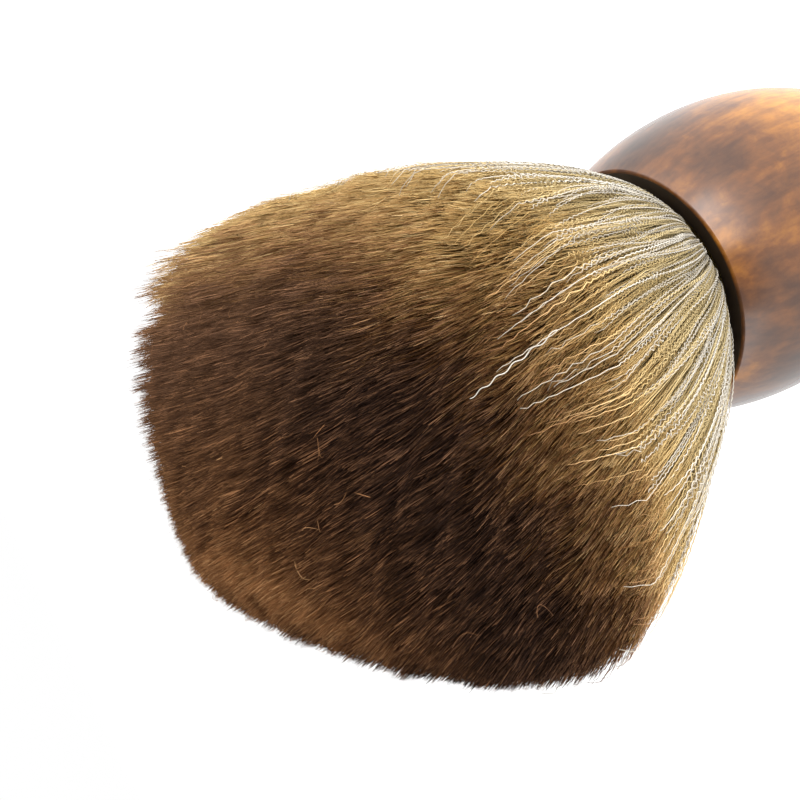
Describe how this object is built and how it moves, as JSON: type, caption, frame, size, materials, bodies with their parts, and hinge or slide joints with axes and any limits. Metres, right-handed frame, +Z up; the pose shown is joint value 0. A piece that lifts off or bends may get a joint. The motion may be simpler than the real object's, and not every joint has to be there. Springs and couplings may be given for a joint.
{
  "type": "neck duster brush",
  "caption": "Neck duster brush with a turned wooden bulb handle on a flat foot and a flared oval head of straw-to-brown fibres.",
  "frame": {"origin": "centre of the handle's flat foot", "axes": "+Z up along the handle to the fibre tips, X across the thin side of the oval head, Y across its wide side"},
  "size_m": [0.061, 0.1, 0.1596],
  "materials": {
    "lacquered_wood": "high-gloss lacquer over mottled amber and red-brown wood",
    "dark_plastic": "smooth dark brown",
    "glue": "cured glue film",
    "resin": "cast amber resin",
    "thread": "twisted thread",
    "brown_fibre": "fine soft fibre, straw at the root, dark brown to tan at the tips",
    "white_fibre": "thicker crimped white fibre"
  },
  "bodies": {
    "root": {"handle_body": "lacquered_wood", "fibre_cup": "dark_plastic", "cup_adhesive": "glue", "resin_plug": "resin", "root_binding": "thread", "tipped_fibres": "brown_fibre", "crimped_fibres": "white_fibre"}
  },
  "joints": []
}
